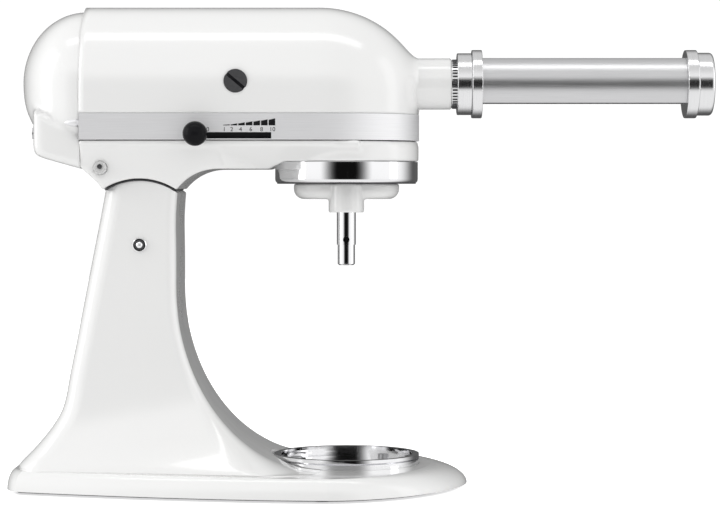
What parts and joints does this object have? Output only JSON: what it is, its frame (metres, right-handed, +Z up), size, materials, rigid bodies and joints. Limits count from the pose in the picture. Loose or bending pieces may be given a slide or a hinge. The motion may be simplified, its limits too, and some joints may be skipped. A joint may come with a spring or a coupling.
{
  "type": "stand mixer with pasta cutter",
  "caption": "Tilt-head stand mixer with a planetary beater drive and a roller pasta cutter plugged into its front power hub.",
  "frame": {"origin": "middle of the bounding box, on the surface the machine stands on", "axes": "+X forward to the power hub and cutter, +Y to the head lock side, +Z up"},
  "size_m": [0.5182, 0.221, 0.355],
  "materials": {
    "white_enamel": "gloss enamel",
    "satin_aluminium": "satin brushed",
    "chrome": "polished",
    "brushed_steel": "brushed",
    "polished_steel": "fine brushed",
    "black_plastic": "gloss",
    "dark_plastic": "matt",
    "rubber": "matt",
    "gear_steel": "machined",
    "bronze": "machined",
    "iron_laminations": "laminated",
    "copper": "copper bars",
    "carbon": "graphite",
    "zinc_steel": "zinc plated"
  },
  "bodies": {
    "pedestal": {"pedestal_casting": "white_enamel", "rubber_feet": "rubber", "bowl_plate": "chrome", "bowl_plate_screws": "zinc_steel", "hinge_pin": "chrome"},
    "head": {"lower_housing": "white_enamel", "upper_housing": "white_enamel", "rear_cover": "white_enamel", "rear_cover_screw": "zinc_steel", "cord_gland": "dark_plastic", "trim_band": "satin_aluminium", "housing_screws": "zinc_steel", "drip_ring": "chrome", "internal_ring_gear": "gear_steel", "field_stator": "iron_laminations", "motor_bearings": "bronze", "rear_bearing_bracket": "zinc_steel", "brush_holders": "dark_plastic", "carbon_brushes": "carbon", "brush_caps": "black_plastic", "centre_bushing": "bronze", "hub_bushing": "bronze", "gear_bracket": "zinc_steel", "speed_control_plate": "zinc_steel"},
    "motor": {"motor_shaft": "gear_steel", "armature_core": "iron_laminations", "commutator": "copper", "cooling_fan": "dark_plastic"},
    "lay_shaft": {"lay_shaft": "gear_steel", "worm_wheel": "bronze"},
    "planetary": {"planetary_hub": "white_enamel", "centre_shaft": "gear_steel", "centre_gear": "gear_steel"},
    "beater": {"beater_shaft": "chrome", "beater_cross_pin": "chrome", "beater_pinion": "gear_steel"},
    "hub_drive": {"hub_bevel_gear": "gear_steel"},
    "speed_control": {"speed_lever": "chrome", "speed_knob": "black_plastic"},
    "head_lock": {"lock_lever": "chrome", "lock_knob": "black_plastic"},
    "hub_clamp": {"hub_clamp_knob": "black_plastic", "hub_clamp_screw": "zinc_steel"},
    "cutter": {"cutter_shank": "polished_steel", "cutter_gear_case": "brushed_steel", "cutter_inner_plate": "polished_steel", "cutter_outer_plate": "polished_steel", "cutter_shroud": "brushed_steel", "cutter_end_cap": "polished_steel", "roller_bushings": "bronze", "stripper_combs": "zinc_steel", "cutter_tie_screws": "zinc_steel"},
    "cutter_drive": {"cutter_drive_shaft": "gear_steel"},
    "front_roller": {"front_cutter_roller": "gear_steel", "front_sync_gear": "gear_steel"},
    "rear_roller": {"rear_cutter_roller": "gear_steel", "rear_sync_gear": "gear_steel"}
  },
  "joints": [
    {"name": "head_tilt", "type": "hinge", "parent": "pedestal", "child": "head", "pos_m": [-0.1614, 0, 0.1804], "axis": [0, -1, 0], "range_deg": [0, 42]},
    {"name": "motor_spin", "type": "hinge", "parent": "head", "child": "motor", "pos_m": [-0.1119, 0, 0.2985], "axis": [1, 0, 0], "continuous": true},
    {"name": "lay_shaft_spin", "type": "hinge", "parent": "head", "child": "lay_shaft", "pos_m": [-0.04141, 0.027, 0.2985], "axis": [0, 0, 1], "continuous": true},
    {"name": "planetary_spin", "type": "hinge", "parent": "head", "child": "planetary", "pos_m": [-0.0119, 0, 0.23], "axis": [0, 0, 1], "continuous": true},
    {"name": "beater_spin", "type": "hinge", "parent": "planetary", "child": "beater", "pos_m": [-0.0119, -0.022, 0.2], "axis": [0, 0, 1], "continuous": true},
    {"name": "hub_spin", "type": "hinge", "parent": "head", "child": "hub_drive", "pos_m": [0.0181, 0, 0.2985], "axis": [1, 0, 0], "continuous": true},
    {"name": "speed_slide", "type": "slide", "parent": "head", "child": "speed_control", "axis": [1, 0, 0], "range_m": [0, 0.05]},
    {"name": "lock_turn", "type": "hinge", "parent": "head", "child": "head_lock", "pos_m": [-0.1674, 0.058, 0.244], "axis": [0, 1, 0], "range_deg": [-60, 0]},
    {"name": "clamp_turn", "type": "hinge", "parent": "head", "child": "hub_clamp", "pos_m": [0.0541, 0.025, 0.2985], "axis": [0, 1, 0], "range_deg": [-720, 0]},
    {"name": "cutter_pull_off", "type": "slide", "parent": "head", "child": "cutter", "axis": [1, 0, 0], "range_m": [0, 0.045]},
    {"name": "cutter_drive_spin", "type": "hinge", "parent": "cutter", "child": "cutter_drive", "pos_m": [0.0481, 0, 0.2985], "axis": [1, 0, 0], "continuous": true},
    {"name": "front_roller_spin", "type": "hinge", "parent": "cutter", "child": "front_roller", "pos_m": [0.1381, -0.008, 0.2985], "axis": [1, 0, 0], "continuous": true},
    {"name": "rear_roller_spin", "type": "hinge", "parent": "cutter", "child": "rear_roller", "pos_m": [0.1381, 0.008, 0.2985], "axis": [1, 0, 0], "continuous": true}
  ],
  "couplings": [
    {"joint": "lay_shaft_spin", "follows": "motor_spin", "ratio": -0.2},
    {"joint": "planetary_spin", "follows": "motor_spin", "ratio": 0.1},
    {"joint": "beater_spin", "follows": "motor_spin", "ratio": -0.3},
    {"joint": "hub_spin", "follows": "motor_spin", "ratio": 0.2},
    {"joint": "cutter_drive_spin", "follows": "motor_spin", "ratio": 0.2},
    {"joint": "front_roller_spin", "follows": "motor_spin", "ratio": -0.13333},
    {"joint": "rear_roller_spin", "follows": "motor_spin", "ratio": 0.13333}
  ]
}
